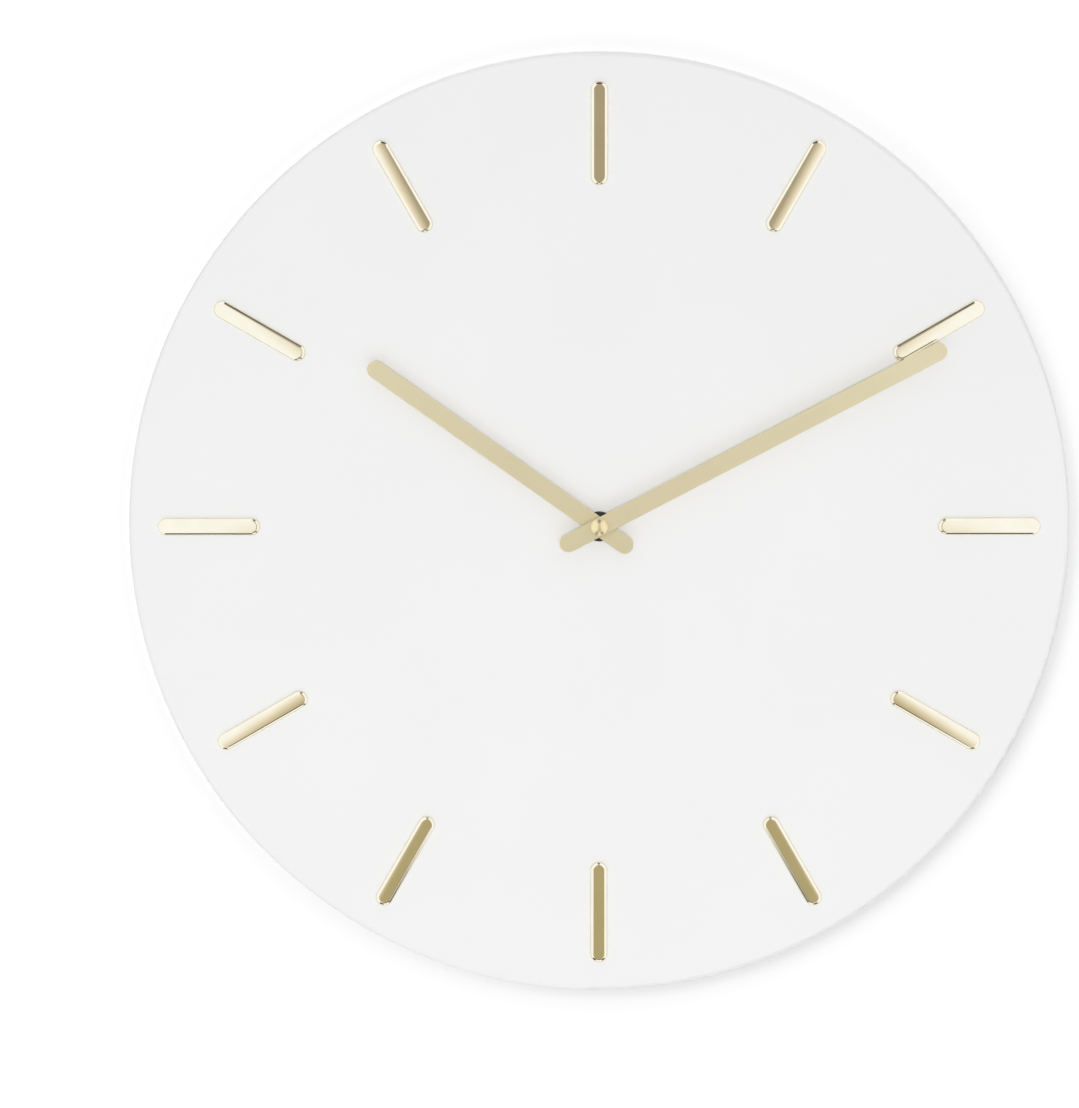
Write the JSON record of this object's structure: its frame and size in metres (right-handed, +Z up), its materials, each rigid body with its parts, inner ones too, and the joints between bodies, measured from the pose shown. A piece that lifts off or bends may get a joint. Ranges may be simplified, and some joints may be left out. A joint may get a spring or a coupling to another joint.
{
  "type": "wall clock",
  "caption": "Round white metal wall clock with rounded gilt hour bars, two straight round-ended gilt hands and a battery quartz movement with its gear train, hung on a wall screw.",
  "frame": {"origin": "where the axis of the hands meets the wall plane, at the centre of the flat back of the movement", "axes": "+Z up to twelve o'clock, -Y out of the wall towards the viewer, +X to three o'clock"},
  "size_m": [0.45, 0.0293, 0.45],
  "materials": {
    "white_coat": "satin powder coat",
    "gilt_polished": "polished champagne gilt",
    "gilt_satin": "satin champagne gilt",
    "brass": "turned",
    "dark_steel": "blackened",
    "black_rubber": "matt",
    "black_plastic": "fine moulded grain",
    "wheel_plastic": "moulded",
    "bridge_plastic": "moulded",
    "spring_steel": "nickel plated",
    "motor_iron": "punched sheet",
    "magnet": "sintered",
    "copper_wire": "enamelled wire",
    "board": "resist coated",
    "resin": "cast drop",
    "crystal_can": "drawn can",
    "cell_sleeve": "plain sleeve"
  },
  "bodies": {
    "housing": {"dial": "white_coat", "hour_bar_01": "gilt_polished", "hour_bar_02": "gilt_polished", "hour_bar_03": "gilt_polished", "hour_bar_04": "gilt_polished", "hour_bar_05": "gilt_polished", "hour_bar_06": "gilt_polished", "hour_bar_07": "gilt_polished", "hour_bar_08": "gilt_polished", "hour_bar_09": "gilt_polished", "hour_bar_10": "gilt_polished", "hour_bar_11": "gilt_polished", "hour_bar_12": "gilt_polished", "dial_gasket": "black_rubber", "dial_washer": "dark_steel", "dial_nut": "dark_steel", "centre_post": "brass", "movement_case": "black_plastic", "movement_cover": "black_plastic", "train_bridge": "bridge_plastic", "stator": "motor_iron", "coil_core": "motor_iron", "coil_spool": "bridge_plastic", "coil_winding": "copper_wire", "circuit_board": "board", "timing_chip": "resin", "quartz_crystal": "crystal_can", "dry_cell": "cell_sleeve", "contact_strip_plus": "spring_steel", "contact_strip_minus": "spring_steel"},
    "minute": {"minute_hand": "gilt_satin", "minute_hand_nut": "brass", "minute_arbor": "brass", "clutch_collar": "spring_steel", "clutch_spring": "spring_steel"},
    "hour": {"hour_hand": "gilt_satin", "hour_hand_collet": "brass", "hour_wheel": "wheel_plastic"},
    "motion": {"minute_wheel": "wheel_plastic"},
    "setter": {"setting_knob": "black_plastic"},
    "seconds": {"seconds_wheel": "wheel_plastic"},
    "third": {"third_wheel": "wheel_plastic"},
    "centre": {"centre_wheel": "wheel_plastic"},
    "fifth": {"fifth_wheel": "wheel_plastic"},
    "rotor": {"rotor_arbor": "wheel_plastic", "rotor_magnet": "magnet"}
  },
  "joints": [
    {"name": "minute_hand_turn", "type": "hinge", "parent": "housing", "child": "minute", "pos_m": [0, 0, 0], "axis": [0, 1, 0], "continuous": true},
    {"name": "hour_hand_turn", "type": "hinge", "parent": "housing", "child": "hour", "pos_m": [0, 0, 0], "axis": [0, 1, 0], "continuous": true},
    {"name": "minute_wheel_turn", "type": "hinge", "parent": "housing", "child": "motion", "pos_m": [0.0094, 0, 0.00342], "axis": [0, 1, 0], "continuous": true},
    {"name": "setting_knob_turn", "type": "hinge", "parent": "housing", "child": "setter", "pos_m": [0.01846, 0, -0.00081], "axis": [0, 1, 0], "continuous": true},
    {"name": "seconds_wheel_turn", "type": "hinge", "parent": "housing", "child": "seconds", "pos_m": [0, 0, 0], "axis": [0, 1, 0], "continuous": true},
    {"name": "third_wheel_turn", "type": "hinge", "parent": "housing", "child": "third", "pos_m": [-0.0108, 0, 0], "axis": [0, 1, 0], "continuous": true},
    {"name": "centre_wheel_turn", "type": "hinge", "parent": "housing", "child": "centre", "pos_m": [0, 0, 0], "axis": [0, 1, 0], "continuous": true},
    {"name": "fifth_wheel_turn", "type": "hinge", "parent": "housing", "child": "fifth", "pos_m": [0.00858, 0, 0.0072], "axis": [0, 1, 0], "continuous": true},
    {"name": "rotor_turn", "type": "hinge", "parent": "housing", "child": "rotor", "pos_m": [0.01044, 0, 0.01415], "axis": [0, 1, 0], "continuous": true}
  ],
  "couplings": [
    {"joint": "hour_hand_turn", "follows": "minute_hand_turn", "ratio": 0.083333},
    {"joint": "minute_wheel_turn", "follows": "minute_hand_turn", "ratio": -0.33333},
    {"joint": "setting_knob_turn", "follows": "minute_hand_turn", "ratio": 1},
    {"joint": "third_wheel_turn", "follows": "seconds_wheel_turn", "ratio": -0.13333},
    {"joint": "centre_wheel_turn", "follows": "seconds_wheel_turn", "ratio": 0.016667},
    {"joint": "fifth_wheel_turn", "follows": "seconds_wheel_turn", "ratio": -6},
    {"joint": "rotor_turn", "follows": "seconds_wheel_turn", "ratio": 30}
  ]
}
